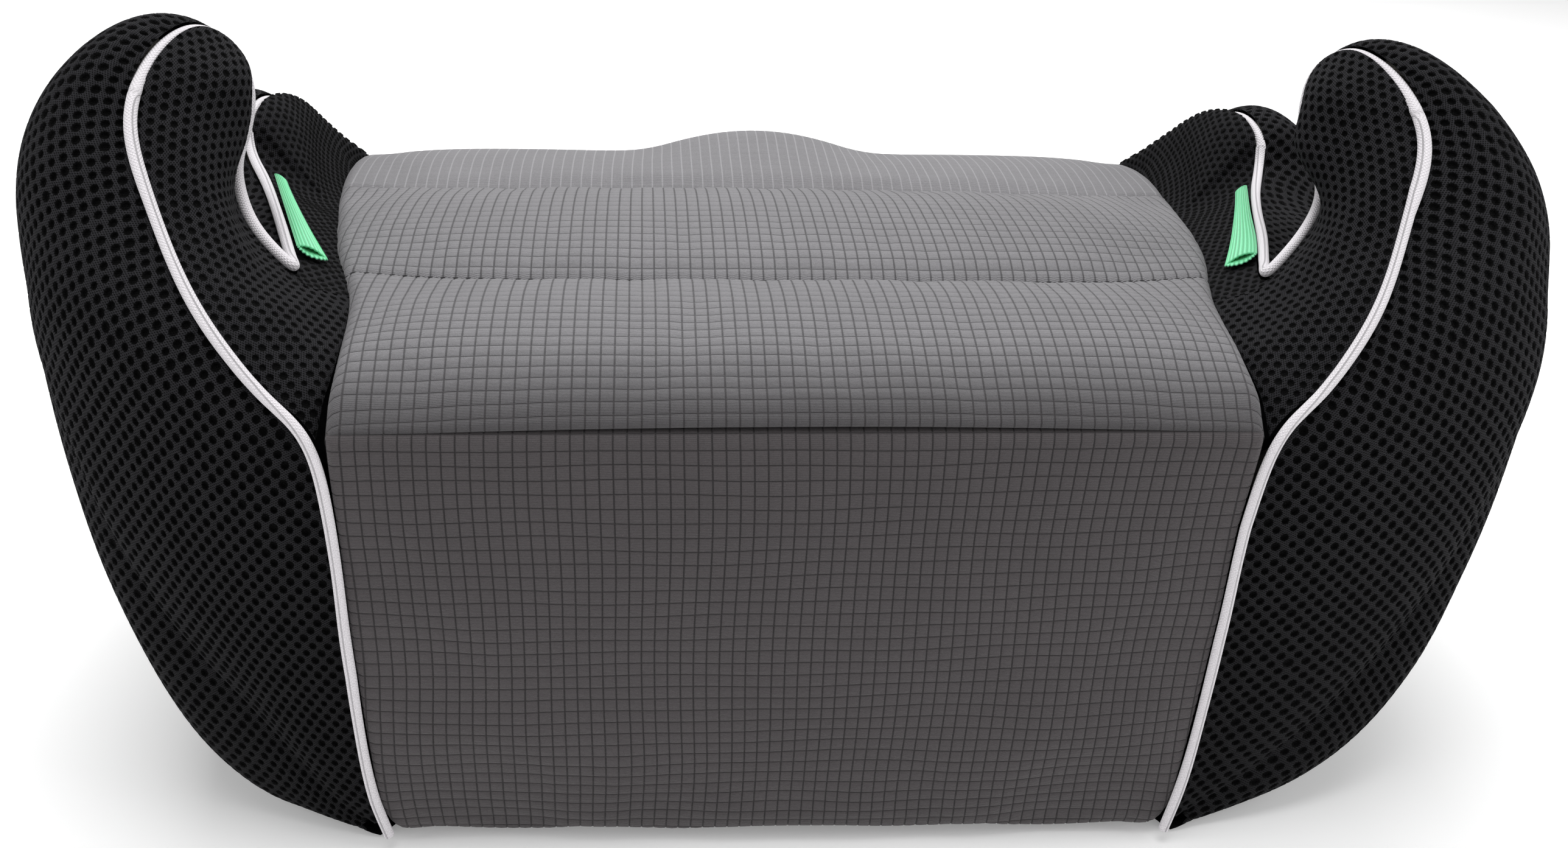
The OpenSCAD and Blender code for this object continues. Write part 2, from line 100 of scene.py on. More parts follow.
def unit(v):
    return v / np.maximum(np.linalg.norm(v, axis=-1, keepdims=True), 1e-9)


def stack(*parts):
    """Points or the like from their parts, which are spread to one shape."""
    return np.stack(np.broadcast_arrays(*parts), -1)


def part(x):
    """A share, kept between none and all."""
    return np.clip(x, 0, 1)


def bell(x, width):
    return np.exp(-(x / width) ** 2)


def along(points, k):
    """Smooth curve through points; k counts them."""
    p = np.asarray(points, float)
    last = len(p) - 1
    k = np.clip(np.asarray(k, float), 0, last)
    i = np.minimum(np.floor(k).astype(int), last - 1)
    t = (k - i).reshape(k.shape + (1,) * (p.ndim - 1))
    a, b, c, d = p[np.maximum(i - 1, 0)], p[i], p[i + 1], p[np.minimum(i + 2, last)]
    return (2 * b + (c - a) * t + (2 * a - 5 * b + 4 * c - d) * t * t
            + (3 * b - a - 3 * c + d) * t ** 3) / 2


def sample(grid, i, j):
    """Smooth surface through a grid of points at fractional row i and column j."""
    n, m = grid.shape[:2]
    i, j = np.clip(i, 0, n - 1), np.clip(j, 0, m - 1)
    i0 = np.minimum(np.floor(i).astype(int), n - 2)
    j0 = np.minimum(np.floor(j).astype(int), m - 2)

    def weights(t):
        return (-t + 2 * t * t - t ** 3, 2 - 5 * t * t + 3 * t ** 3,
                t + 4 * t * t - 3 * t ** 3, -t * t + t ** 3)

    wi, wj = weights(i - i0), weights(j - j0)
    out = 0
    for a in range(4):
        for b in range(4):
            ii = np.clip(i0 + a - 1, 0, n - 1)
            jj = np.clip(j0 + b - 1, 0, m - 1)
            out = out + grid[ii, jj] * (wi[a] * wj[b] / 4)[..., None]
    return out


def bezier(a, b, c, d, t):
    t = t[None, :, None]
    a, b, c, d = (v[:, None, :] for v in (a, b, c, d))
    return (1 - t) ** 3 * a + 3 * (1 - t) ** 2 * t * b + 3 * (1 - t) * t * t * c + t ** 3 * d


def lookup(y, table):
    """Smooth lookup in a table of pairs."""
    table = np.asarray(table, float)
    k = np.interp(np.asarray(y, float), table[:, 0], np.arange(len(table)))
    return along(table[:, 1], k)


def grid_normals(g):
    return unit(np.cross(*np.gradient(g, axis=(0, 1))))


# ---- camera and light

def pose(ob, x, y, z, place):
    """Puts an object at a place, with its axes along x, y and z, and links it."""
    ob.matrix_world = Matrix([(x[i], y[i], z[i], place[i]) for i in range(3)] + [(0, 0, 0, 1)])
    bpy.context.scene.collection.objects.link(ob)


def make_camera():
    """The camera stands in front of the seat, a little to its right and above it."""
    yaw, pitch, roll = (math.radians(a) for a in (-5.87, 26.37, 2.44))
    right, level = np.array([[math.cos(yaw), math.sin(yaw), 0], [-math.sin(yaw), math.cos(yaw), 0]])
    ahead = level * math.cos(pitch) - [0, 0, math.sin(pitch)]
    up = np.cross(right, ahead)
    across = right * math.cos(roll) + up * math.sin(roll)
    upward = -right * math.sin(roll) + up * math.cos(roll)
    data = bpy.data.cameras.new("camera")
    data.sensor_width = 36.0
    data.lens = 34.4
    data.clip_start = 0.01
    cam = bpy.data.objects.new("camera", data)
    pose(cam, across, upward, -ahead, (-0.0450, -0.5138, 0.3352))
    bpy.context.scene.camera = cam


def area_light(name, place, target, size, power):
    data = bpy.data.lights.new(name, "AREA")
    data.shape = "RECTANGLE"
    data.size, data.size_y = size
    data.energy = power
    z = -unit(np.array(target, float) - np.array(place, float))
    x = unit(np.cross([0, 0.01, 1.0], z))
    pose(bpy.data.objects.new(name, data), x, np.cross(z, x), z, place)


def make_studio():
    bpy.context.scene.view_settings.view_transform = "Standard"
    world = bpy.context.scene.world = bpy.data.worlds.new("studio")
    world.use_nodes = True
    sky = world.node_tree.nodes["Background"]
    sky.inputs["Color"].default_value = (1, 1, 1, 1)
    sky.inputs["Strength"].default_value = 0.3
    area_light("key_light", (-0.1, 0.0, 1.8), (0, 0, 0.1), (1.4, 1.2), 22)
    area_light("back_light", (0.1, 1.3, 1.2), (0, 0.1, 0.15), (1.6, 0.7), 12)
    area_light("left_light", (-1.5, -0.5, 0.9), (0, 0, 0.12), (0.9, 1.1), 5)
    area_light("right_light", (1.5, -0.5, 0.9), (0, 0, 0.12), (0.9, 1.1), 8)


# ---- materials

class Nodes:
    """Shorthand for building a material's node tree."""

    def __init__(self, name, colour, roughness, **sockets):
        self.mat = bpy.data.materials.new(name)
        self.mat.use_nodes = True
        self.nt = self.mat.node_tree
        self.bsdf = self.nt.nodes["Principled BSDF"]
        self.bsdf.inputs["Base Color"].default_value = (*colour, 1)
        self.bsdf.inputs["Roughness"].default_value = roughness
        for key, value in sockets.items():
            self.bsdf.inputs[key.replace("_", " ")].default_value = value

    def put(self, socket, value):
        """Links a socket, or sets its number or colour."""
        if isinstance(value, bpy.types.NodeSocket):
            self.nt.links.new(value, socket)
        else:
            socket.default_value = (*value, 1) if isinstance(value, tuple) else value

    def node(self, kind, inputs, out=0, **settings):
        """Output of a new node, whose input sockets are given by name or number."""
        n = self.nt.nodes.new(kind)
        for key, value in settings.items():
            setattr(n, key, value)
        for key, value in inputs.items():
            self.put(n.inputs[key], value)
        return n.outputs[out]

    def math(self, op, *values):
        return self.node("ShaderNodeMath", dict(enumerate(values)), operation=op)

    def mul(self, a, b):
        return self.math("MULTIPLY", a, b)

    def add(self, *terms):
        """Sum of its terms; a term may be a pair of a value and its share."""
        terms = [self.mul(*t) if isinstance(t, tuple) else t for t in terms]
        total = terms[0]
        for term in terms[1:]:
            total = self.math("ADD", total, term)
        return total

    def split(self, vector):
        return self.node("ShaderNodeSeparateXYZ", {0: vector}).node.outputs[:3]

    def join(self, x, y):
        return self.node("ShaderNodeCombineXYZ", {0: x, 1: y})

    def cloth(self):
        """The mesh's cloth coordinates, split in three."""
        return self.split(self.node("ShaderNodeAttribute", {}, "Vector", attribute_name="cloth"))

    def place(self):
        """Object position in millimetres."""
        metres = self.node("ShaderNodeTexCoord", {}, "Object")
        return self.node("ShaderNodeVectorMath", {0: metres, "Scale": 1 / MM}, operation="SCALE")

    def noise(self, vector, scale, detail=3.0, rough=0.6):
        return self.node("ShaderNodeTexNoise", {"Vector": vector, "Scale": scale,
                                                "Detail": detail, "Roughness": rough})

    def ramp(self, value, low, high, a=0.0, b=1.0):
        return self.node("ShaderNodeMapRange", dict(enumerate((value, low, high, a, b))),
                         interpolation_type="SMOOTHSTEP")

    def mix(self, share, a, b):
        return self.node("ShaderNodeMix", {0: share, 6: a, 7: b}, 2, data_type="RGBA")

    def bump(self, height, distance, strength):
        values = {"Height": height, "Distance": distance, "Strength": strength}
        self.put(self.bsdf.inputs["Normal"], self.node("ShaderNodeBump", values))

    def colour(self, value):
        self.put(self.bsdf.inputs["Base Color"], value)


def wave(n, x, period, phase=0.0):
    """0 to 1 sine of a socket, with the given period."""
    s = n.math("SINE", n.math("MULTIPLY_ADD", x, 2 * math.pi / period, phase))
    return n.math("MULTIPLY_ADD", s, 0.5, 0.5)


def to_line(n, x):
    """Distance of a cell coordinate from its nearest whole number."""
    shifted = n.math("FRACT", n.math("ADD", x, 0.5))
    return n.math("ABSOLUTE", n.math("SUBTRACT", shifted, 0.5))


def scaled(colour, share):
    return tuple(min(c * share, 1) for c in colour)


def knit_material(name, colour, line, high, seams=()):
    """Grid knit: cloth coordinates in cells, thin dark grid lines, short courses in each cell.

    seams are the row lines that are stitched; past the last one the knit is stretched over the
    rear edge, where its row lines vanish and its column lines turn pale, and painted shade
    darkens the first rows where they roll over the front edge.
    """
    n = Nodes(name, colour, 0.86, Sheen_Weight=0.15, Sheen_Roughness=0.45,
              Specular_IOR_Level=0.2)
    u, v, _ = n.cloth()
    du, dv = to_line(n, u), to_line(n, v)
    courses = wave(n, v, 1 / 9.0)                            # nine courses of loops to a cell
    across = n.mul(n.ramp(du, 0.03, 0.1, 0.95, 0.0), n.math("MULTIPLY_ADD", courses, 0.3, 0.7))
    down = n.ramp(dv, 0.012, 0.06, 0.8, 0.0)
    speck = n.noise(n.join(n.mul(u, CELL), n.mul(v, ROW)), 3.1, 2.0)
    patch = n.noise(n.place(), 0.035, 2.0)
    broken = n.noise(n.join(n.mul(u, 3.5), n.mul(v, 5.0)), 1.0, 2.0)
    tone = n.add((speck, 0.6), (courses, 0.15), (broken, 0.25), (patch, 0.15))
    body = n.mix(n.ramp(tone, 0.3, 0.95), scaled(colour, 0.76), high)
    dark = n.math("MAXIMUM", across, down)
    if seams:
        rear = n.ramp(v, seams[-1] + 0.05, seams[-1] + 0.4)
        dark = n.mul(dark, n.math("SUBTRACT", 1.0, rear))
        body = n.mix(n.mul(n.mul(across, rear), 0.5), body, scaled(high, 1.5))
    base = n.mix(n.mul(dark, 0.9), body, line)
    height = n.add((courses, 0.45), (broken, 0.5), (speck, 0.7), (dark, -0.8))
    for r in seams:
        off = n.math("ABSOLUTE", n.math("SUBTRACT", v, float(r)))
        dimple = n.mul(n.ramp(off, 0.13, 0.3, 1.0, 0.0), n.ramp(du, 0.1, 0.24, 1.0, 0.0))
        stitch = n.math("MAXIMUM", n.ramp(off, 0.05, 0.13, 0.8, 0.0), dimple)
        base = n.mix(stitch, base, scaled(line, 0.35))
        height = n.add(height, (stitch, -1.5))
    if seams:
        # painted shade: the first rows are painted darker towards the front seam, where they roll
        # over the front edge away from the light
        base = n.mix(n.ramp(v, -0.5, 8.5, 0.68, 0.0), base, (0.024, 0.0195, 0.0205))
    n.colour(base)
    n.bump(height, 0.00024, 0.85)
    return n.mat


def mesh_material():
    """Spacer mesh: black yarn with painted highlight and shade on its loops, painted shade down its
    holes to their floors (the backing layer), and painted shade low down.
    """
    n = Nodes("spacer_mesh", (0.010, 0.010, 0.011), 0.8, Sheen_Weight=0.015,
              Sheen_Roughness=0.5, Specular_IOR_Level=0.08)
    u, v, deep = n.cloth()
    fibre = n.noise(n.join(u, n.mul(v, 1.6)), 2.6, 3.0, 0.7)
    lean = n.math("MULTIPLY_ADD", fibre, 0.5, n.mul(u, 0.7))
    loops = n.math("MAXIMUM", wave(n, n.add(v, lean), 0.8),
                   wave(n, n.math("SUBTRACT", v, lean), 0.8))
    # painted highlight and shade: the loop pattern is the yarn's own, but its spread from near
    # black to a lit grey is painted light
    body = n.mix(n.ramp(n.add((loops, 0.6), (fibre, 0.6)), 0.45, 1.0),
                 (0.003, 0.003, 0.0033), (0.034, 0.0335, 0.0375))
    low = n.ramp(n.split(n.place())[2], 20.0, 200.0, 0.46, 0.0)      # painted shade: the yarn is painted darker low down, towards the floor
    body = n.mix(low, body, (0.002, 0.002, 0.0022))
    # painted shade: the hole walls and floors are painted near black, as shade down in the holes
    n.colour(n.mix(n.ramp(deep, 0.02, 0.36), body, (0.0008, 0.0008, 0.0009)))
    n.bump(n.add((loops, 0.8), fibre), 0.00030, 0.9)
    return n.mat


def piping_material():
    """Woven tape over a cord: coordinates run along the cord and round it, in millimetres."""
    # painted light: a faint white emission makes the piping glow brighter than the lamps light it
    n = Nodes("piping_weave", (0.9, 0.87, 0.9), 0.78, Sheen_Weight=0.4, Sheen_Roughness=0.4,
              Specular_IOR_Level=0.25, Emission_Color=(1, 0.96, 1, 1), Emission_Strength=0.045)
    u, v, _ = n.cloth()
    slant = n.mul(v, 0.8)
    knit = n.mul(wave(n, n.add(u, slant), 1.05), wave(n, n.math("SUBTRACT", u, slant), 1.05))
    fibre = n.noise(n.join(u, v), 3.4, 3.0)
    n.colour(n.mix(n.ramp(n.add((knit, 0.8), (fibre, 0.5)), 0.2, 0.9),
                   (0.80, 0.765, 0.80), (1.0, 0.97, 1.0)))
    n.bump(n.add(knit, (fibre, 0.5)), 0.00028, 0.9)
    return n.mat


def ribbon_material():
    """Ribbed ribbon: ribs follow the first cloth coordinate."""
    n = Nodes("tag_ribbon", (0.16, 0.74, 0.33), 0.5, Sheen_Weight=0.3, Sheen_Roughness=0.35,
              Specular_IOR_Level=0.4)
    u, v, _ = n.cloth()
    rib = wave(n, u, TAG_RIB, math.pi / 2)
    fibre = n.noise(n.join(u, n.mul(v, 0.25)), 5.0, 3.0)
    # painted shade: the troughs between the ribs are painted a shaded green and the crests a lit
    # green
    n.colour(n.mix(n.ramp(n.add((rib, 0.7), (fibre, 0.5)), 0.15, 0.85),
                   (0.09, 0.47, 0.21), (0.24, 0.83, 0.46)))
    n.bump(n.add(rib, (fibre, 0.35)), 0.00020, 0.8)
    return n.mat


def plain_material(name, colour, roughness, grain, depth, spread=0.25, **sockets):
    """Moulded or sheet material with a fine surface grain and slight colour drift."""
    n = Nodes(name, colour, roughness, **sockets)
    mm = n.place()
    fine = n.noise(mm, grain, 4.0)
    drift = n.noise(mm, 0.03, 3.0)
    n.colour(n.mix(n.ramp(n.add((fine, 0.5), (drift, 0.5)), 0.3, 0.7),
                   scaled(colour, 1 - spread), scaled(colour, 1 + spread)))
    n.put(n.bsdf.inputs["Roughness"],
          n.ramp(fine, 0.2, 0.8, roughness - 0.07, roughness + 0.07))
    n.bump(fine, depth, 0.6)
    return n.mat


SEAT_KNIT = knit_material("seat_knit", (0.242, 0.237, 0.247), (0.050, 0.048, 0.051),
                          (0.312, 0.306, 0.319), (ROWS, 2 * ROWS))
# painted shade: the front and rear panels are the seat top's knit, painted about a third as bright
# where they face away from the light above
SHADED_PANEL_KNIT = knit_material("shaded_panel_knit", (0.090, 0.081, 0.084), (0.020, 0.018, 0.019),
                           (0.112, 0.102, 0.105))
MESH = mesh_material()
PIPE = piping_material()
RIBBON = ribbon_material()
PLASTIC = plain_material("base_plastic", (0.045, 0.047, 0.052), 0.5, 1.3, 0.00015)
CORE = plain_material("core_plastic", (0.07, 0.074, 0.08), 0.55, 1.1, 0.00015)
STEEL = plain_material("screw_steel", (0.6, 0.61, 0.63), 0.34, 2.5, 0.00004, 0.12, Metallic=1.0)
FOAM = plain_material("foam_cells", (0.80, 0.77, 0.68), 0.92, 1.0, 0.0006, 0.1)
RUBBER = plain_material("foot_rubber", (0.012, 0.012, 0.013), 0.72, 0.9, 0.0002)
HOOK = plain_material("hook_plastic", (0.016, 0.016, 0.018), 0.45, 1.6, 0.00012)
ELASTIC = plain_material("hem_cloth", (0.014, 0.014, 0.015), 0.8, 2.2, 0.0003, 0.35,
                         Sheen_Weight=0.2)
THREAD = plain_material("thread", (0.15, 0.146, 0.152), 0.7, 4.0, 0.0001, 0.3)


# ---- meshes

def make_object(name, points, faces, material, cloth=None):
    """Mesh object from points in millimetres; cloth holds pattern coordinates per point."""
    mesh = bpy.data.meshes.new(name)
    used = np.zeros(len(points), bool)
    used[faces.ravel()] = True
    new_id = np.cumsum(used) - 1
    points, faces = points[used], new_id[faces]
    mesh.vertices.add(len(points))
    mesh.vertices.foreach_set("co", (points * MM).astype(np.float32).ravel())
    size = faces.shape[1]
    mesh.loops.add(faces.size)
    mesh.loops.foreach_set("vertex_index", faces.astype(np.int32).ravel())
    mesh.polygons.add(len(faces))
    mesh.polygons.foreach_set("loop_start", np.arange(0, faces.size, size, dtype=np.int32))
    mesh.update(calc_edges=True)
    mesh.validate()
    if cloth is not None:
        attribute = mesh.attributes.new("cloth", "FLOAT_VECTOR", "POINT")
        attribute.data.foreach_set("vector", np.asarray(cloth, np.float32)[used].ravel())
    mesh.materials.append(material)
    mesh.shade_smooth()
    ob = bpy.data.objects.new(name, mesh)
    bpy.context.scene.collection.objects.link(ob)
    return ob


def discard(ob):
    mesh = ob.data
    bpy.data.objects.remove(ob)
    bpy.data.meshes.remove(mesh)


def make_floor():
    paint = Nodes("floor_paint", (0.93, 0.93, 0.93), 0.9, Specular_IOR_Level=0.1,
                  Emission_Color=(1, 1, 1, 1), Emission_Strength=0.22)
    corners = 6000.0 * np.array([(-1, -1, 0), (1, -1, 0), (1, 1, 0), (-1, 1, 0)])
    make_object("floor", corners, np.array([[0, 1, 2, 3]]), paint.mat)


def grid_faces(n, m, closed=False):
    """Quads of an n by m grid of points; closed joins the last column to the first."""
    i = np.arange(n - 1)[:, None]
    j = np.arange(m if closed else m - 1)[None, :]
    k = (j + 1) % m
    a, b = i * m + j, i * m + k
    c, d = (i + 1) * m + k, (i + 1) * m + j
    return stack(a, d, c, b).reshape(-1, 4)


def drop_flat(points, faces, least):
    """Leaves out faces whose area is next to nothing."""
    p = points[faces]
    area = np.linalg.norm(np.cross(p[:, 2] - p[:, 0], p[:, -1] - p[:, 1]), axis=1)
    return faces[area > least]


def triangles(quads):
    return np.concatenate([quads[:, [0, 1, 2]], quads[:, [0, 2, 3]]])


def flat_cross(q):
    """Twice the signed area of triangles that lie flat."""
    e, g = q[:, 1] - q[:, 0], q[:, 2] - q[:, 0]
    return e[:, 0] * g[:, 1] - e[:, 1] * g[:, 0]


def mirrored(points, faces):
    return points * [-1, 1, 1], faces[:, ::-1]


def both_sides(points, faces):
    """The mesh for the seat's left side, then the mirrored one for its right."""
    yield "left", points, faces
    yield "right", *mirrored(points, faces)


def edges_of(grid):
    sewn = np.zeros(grid.shape[:2], bool)
    sewn[[0, -1]] = True
    sewn[:, [0, -1]] = True
    return sewn


FRAMES = 20          # of cloth simulation
TAUT_PASSES, TAUT_SHARE = 18, 0.84


def settle(name, grid, cap, pressure, grow, sewn_rows=()):
    """Cloth held along its edges and sewn rows, blown up a little; returns the settled grid."""
    n, m = grid.shape[:2]
    sewn = edges_of(grid)
    sewn[list(sewn_rows)] = True
    ob = make_object(name, grid.reshape(-1, 3), grid_faces(n, m)[:, ::-1], MESH)
    group = ob.vertex_groups.new(name="sewn")
    group.add([int(i) for i in np.flatnonzero(sewn.ravel())], 1.0, "REPLACE")
    mod = ob.modifiers.new("cloth", "CLOTH")
    s = mod.settings
    s.quality = 6
    s.mass = 0.25
    s.tension_stiffness = s.compression_stiffness = 18.0
    s.shear_stiffness = 8.0
    s.bending_stiffness = 1.2
    s.vertex_group_mass = "sewn"
    s.pin_stiffness = 1.0
    s.use_pressure = True
    s.uniform_pressure_force = pressure
    s.shrink_min = -grow
    s.effector_weights.gravity = 0.0
    mod.collision_settings.use_collision = False
    mod.collision_settings.use_self_collision = False
    mod.point_cache.frame_start, mod.point_cache.frame_end = 1, FRAMES
    scene = bpy.context.scene
    for f in range(1, FRAMES + 1):
        scene.frame_set(f)
    shown = ob.evaluated_get(bpy.context.evaluated_depsgraph_get())
    co = np.zeros(n * m * 3, np.float32)
    shown.data.vertices.foreach_get("co", co)
    moved = co.reshape(n, m, 3).astype(float) / MM - grid
    far = np.linalg.norm(moved, axis=-1, keepdims=True)
    moved *= np.minimum(1, cap / np.maximum(far, 1e-9))
    moved[sewn] = 0
    eased = moved
    for _ in range(TAUT_PASSES):     # taut cloth keeps its swell and little of its puckers
        p = np.pad(eased, ((1, 1), (1, 1), (0, 0)), "edge")
        eased = eased / 2 + (p[:-2, 1:-1] + p[2:, 1:-1] + p[1:-1, :-2] + p[1:-1, 2:]) / 8
        eased[sewn] = 0
    scene.frame_set(1)
    discard(ob)
    return grid + (1 - TAUT_SHARE) * moved + TAUT_SHARE * eased


def flatten(grid, low, high):
    """A grid's cloth coordinates in millimetres, laid flat, with v from point low to high."""
    n, m = grid.shape[:2]
    ob = make_object("flat", grid.reshape(-1, 3), grid_faces(n, m), MESH)
    ob.data.uv_layers.new(name="flat")
    for o in bpy.context.selected_objects:
        o.select_set(False)
    bpy.context.view_layer.objects.active = ob
    ob.select_set(True)
    bpy.ops.object.mode_set(mode="EDIT")
    bpy.ops.mesh.select_all(action="SELECT")
    bpy.ops.uv.unwrap(method="MINIMUM_STRETCH", iterations=12, margin=0.0)
    bpy.ops.object.mode_set(mode="OBJECT")
    mesh = ob.data
    loops = np.zeros(len(mesh.loops), np.int32)
    mesh.loops.foreach_get("vertex_index", loops)
    uv = np.zeros(len(mesh.loops) * 2, np.float32)
    mesh.uv_layers["flat"].data.foreach_get("uv", uv)
    flat = np.zeros((n * m, 2))
    flat[loops] = uv.reshape(-1, 2)
    discard(ob)
    f = triangles(grid_faces(n, m))
    p = grid.reshape(-1, 3)[f]
    real = np.linalg.norm(np.cross(p[:, 1] - p[:, 0], p[:, 2] - p[:, 0]), axis=1).sum()
    flat *= math.sqrt(real / np.abs(flat_cross(flat[f])).sum())
    d = unit(flat.reshape(n, m, 2)[high] - flat.reshape(n, m, 2)[low])
    return stack(flat @ [d[1], -d[0]], flat @ d).reshape(n, m, 2)


def refined(grid):
    """The grid with another point between each two."""
    n, m = grid.shape[:2]
    i = np.linspace(0, n - 1, 2 * n - 1)[:, None]
    j = np.linspace(0, m - 1, 2 * m - 1)[None, :]
    return sample(grid, *np.broadcast_arrays(i, j))


class Skin:
    """Looks up places on a curved panel by its flat cloth coordinates."""

    def __init__(self, grid, flat, follow=None):
        n, m = grid.shape[:2]
        self.p = grid.reshape(-1, 3)
        self.follow = np.zeros((n * m, 1)) if follow is None else follow.reshape(-1, 1)
        self.uv = flat.reshape(-1, 2)
        self.n = grid_normals(grid).reshape(-1, 3)
        f = triangles(grid_faces(n, m))
        self.f = f[np.abs(flat_cross(self.uv[f])) > 1e-6]
        self.tree = BVHTree.FromPolygons([(u, v, 0.0) for u, v in self.uv], self.f.tolist())

    def lookup(self, uv):
        """Points and normals at cloth coordinates, with a place off the cloth brought to its
        edge; then where that is, how far off it was, and how far it follows the stuffing."""
        hit = [self.tree.find_nearest((u, v, 0.0)) for u, v in uv]
        at = np.array([h[0][:2] for h in hit])
        t = self.f[[h[2] for h in hit]]
        a, b, c = (self.uv[t[:, i]] for i in range(3))
        v0, v1, v2 = b - a, c - a, at - a
        den = v0[:, 0] * v1[:, 1] - v1[:, 0] * v0[:, 1]
        wb = (v2[:, 0] * v1[:, 1] - v1[:, 0] * v2[:, 1]) / den
        wc = (v0[:, 0] * v2[:, 1] - v2[:, 0] * v0[:, 1]) / den
        w = stack(1 - wb - wc, wb, wc)[..., None]
        off = np.linalg.norm(at - uv, axis=1)
        p, normal, follow = ((field[t] * w).sum(1) for field in (self.p, self.n, self.follow))
        return p, unit(normal), at, off, follow


RIM = 8              # points round a hole


def hole_cloth(skin, out_sign, depth, hole, pitch, row):
    """Spacer mesh laid on a skin: every lattice cell has a rounded hole with sloping walls."""
    lo, hi = skin.uv.min(0), skin.uv.max(0)
    rows = np.arange(int(lo[1] / row) - 1, int(hi[1] / row) + 2)
    cols = np.arange(int(lo[0] / pitch) - 1, int(hi[0] / pitch) + 2)
    r, c = np.meshgrid(rows, cols, indexing="ij")
    centre = stack((c + 0.5 * (r % 2)) * pitch, r * row).reshape(-1, 2)
    centre = centre[skin.lookup(centre)[3] < 0.7 * pitch]
    q = row / 3
    corner = np.array([[pitch / 2, -q], [pitch / 2, q], [0, row - q],
                       [-pitch / 2, q], [-pitch / 2, -q], [0, q - row]])
    # neighbouring cells share their corners
    outline = (centre[:, None] + corner).reshape(-1, 2)
    key = np.round(outline * 64).astype(np.int64) @ [10 ** 7, 1]
    _, first, which = np.unique(key, return_index=True, return_inverse=True)
    outline, which = outline[first], which.reshape(-1, 6)
    turn = 2 * math.pi * np.arange(RIM) / RIM + math.pi / 2
    ring = stack(np.cos(turn), np.sin(turn))
    n = len(centre)
    rng = np.random.default_rng(4)
    swing = 1 + 0.07 * rng.standard_normal((n, 1, 1))
    lip = centre[:, None] + ring * hole * swing
    bottom = centre[:, None] + ring * np.array(hole) * 0.68 * swing
    uv = np.concatenate([outline, lip.reshape(-1, 2), bottom.reshape(-1, 2)])
    k = len(outline)
    deep, lift = (np.repeat(values, (k, n * RIM, n * RIM))
                  for values in ((0, 0.05, 1), (0, 0.10, -depth)))
    p, normal, at, off, follow = skin.lookup(uv)
    fade = part(1 - off / 0.4)
    p = p + out_sign * normal * (lift * fade)[:, None]
    lip_id = k + np.arange(n)[:, None] * RIM + np.arange(RIM)
    low_id = lip_id + n * RIM
    parts = []
    # between the cell's outline and the lip: a fan that walks round both rings
    outline_turn = np.arctan2(corner[:, 1], corner[:, 0]) % (2 * math.pi)
    lip_turn = turn % (2 * math.pi)
    o_order, l_order = np.argsort(outline_turn), np.argsort(lip_turn)
    o_t = np.append(outline_turn[o_order], outline_turn[o_order][0] + 2 * math.pi)
    l_t = np.append(lip_turn[l_order], lip_turn[l_order][0] + 2 * math.pi)
    i = j = 0
    while i < 6 or j < RIM:
        o0, l0 = which[:, o_order[i % 6]], lip_id[:, l_order[j % RIM]]
        if j >= RIM or (i < 6 and o_t[i + 1] - o_t[0] < l_t[j + 1] - o_t[0]):
            parts.append(stack(o0, which[:, o_order[(i + 1) % 6]], l0))
            i += 1
        else:
            parts.append(stack(o0, lip_id[:, l_order[(j + 1) % RIM]], l0))
            j += 1
    for j in range(RIM):
        a, b = lip_id[:, j], lip_id[:, (j + 1) % RIM]
        c, d = low_id[:, (j + 1) % RIM], low_id[:, j]
        parts += [stack(a, b, c), stack(a, c, d)]
    for j in range(1, RIM - 1):
        parts.append(low_id[:, [0, j, j + 1]])
    faces = drop_flat(p, np.concatenate(parts), 1e-3)
    if out_sign < 0:
        faces = faces[:, ::-1]
    return p, faces, np.column_stack([at, deep * fade]), follow


# ---- surfaces of the cover

def foot(k):
    y = along(FOOT_Y, k)
    return stack(lookup(y, FOOT_HALF), y, FOOT_Z)


def seam(y):
    return stack(lookup(y, SEAM_HALF), y, lookup(y, SEAM_HIGH))


def ridge(k):
    """The piping's middle line, eased round its tight turns."""
    k = np.asarray(k, float)
    return sum(w * along(PIPING, k + d) for d, w in
               ((-0.3, 0.15), (-0.15, 0.22), (0, 0.26), (0.15, 0.22), (0.3, 0.15)))


def beside(k, reach, sink=1.4):
    """Start of a panel: square to the piping, off the bead's middle and a little below it."""
    before = unit(ridge(k) - ridge(k - 0.5) + 1e-9)
    after = unit(ridge(k + 0.5) - ridge(k) + 1e-9)
    t = unit(before + after + 1e-9)
    square = unit(reach - (reach * t).sum(-1, keepdims=True) * t)
    return ridge(k) + square * (BEAD * 0.8) - ridge_out(k) * sink


def ridge_out(k):
    """Direction in which the piping stands proud of the two panels it joins."""
    e = unit(along(BULGE, k))
    r = unit(along(REACH, k - FIRST))
    # up the horn the two panels run on in one plane, and the bead stands square to it
    level = unit(np.cross(e - r, unit(ridge(k + 0.3) - ridge(k - 0.3) + 1e-9)))
    horn = part((10.4 - k) / 4)[:, None]
    horn = horn * horn * (3 - 2 * horn)
    out = unit(-(e + r) + 1e-9) * (1 - horn) + level * horn
    low = part(FIRST + 1 - k)[:, None]
    front = unit(np.array([0.35, -1.0, 0.0])) * low
    return unit(out * (1 - low) + front)


def inward(f):
    """Directions in under the base, from points of the foot line."""
    return unit(stack(-f[:, 0], -f[:, 1] * np.abs(f[:, 1] / 100), 0))


RIBS, UPPER, LOWER, UNDER = 150, 26, 26, 5       # points of the outer side, along and down


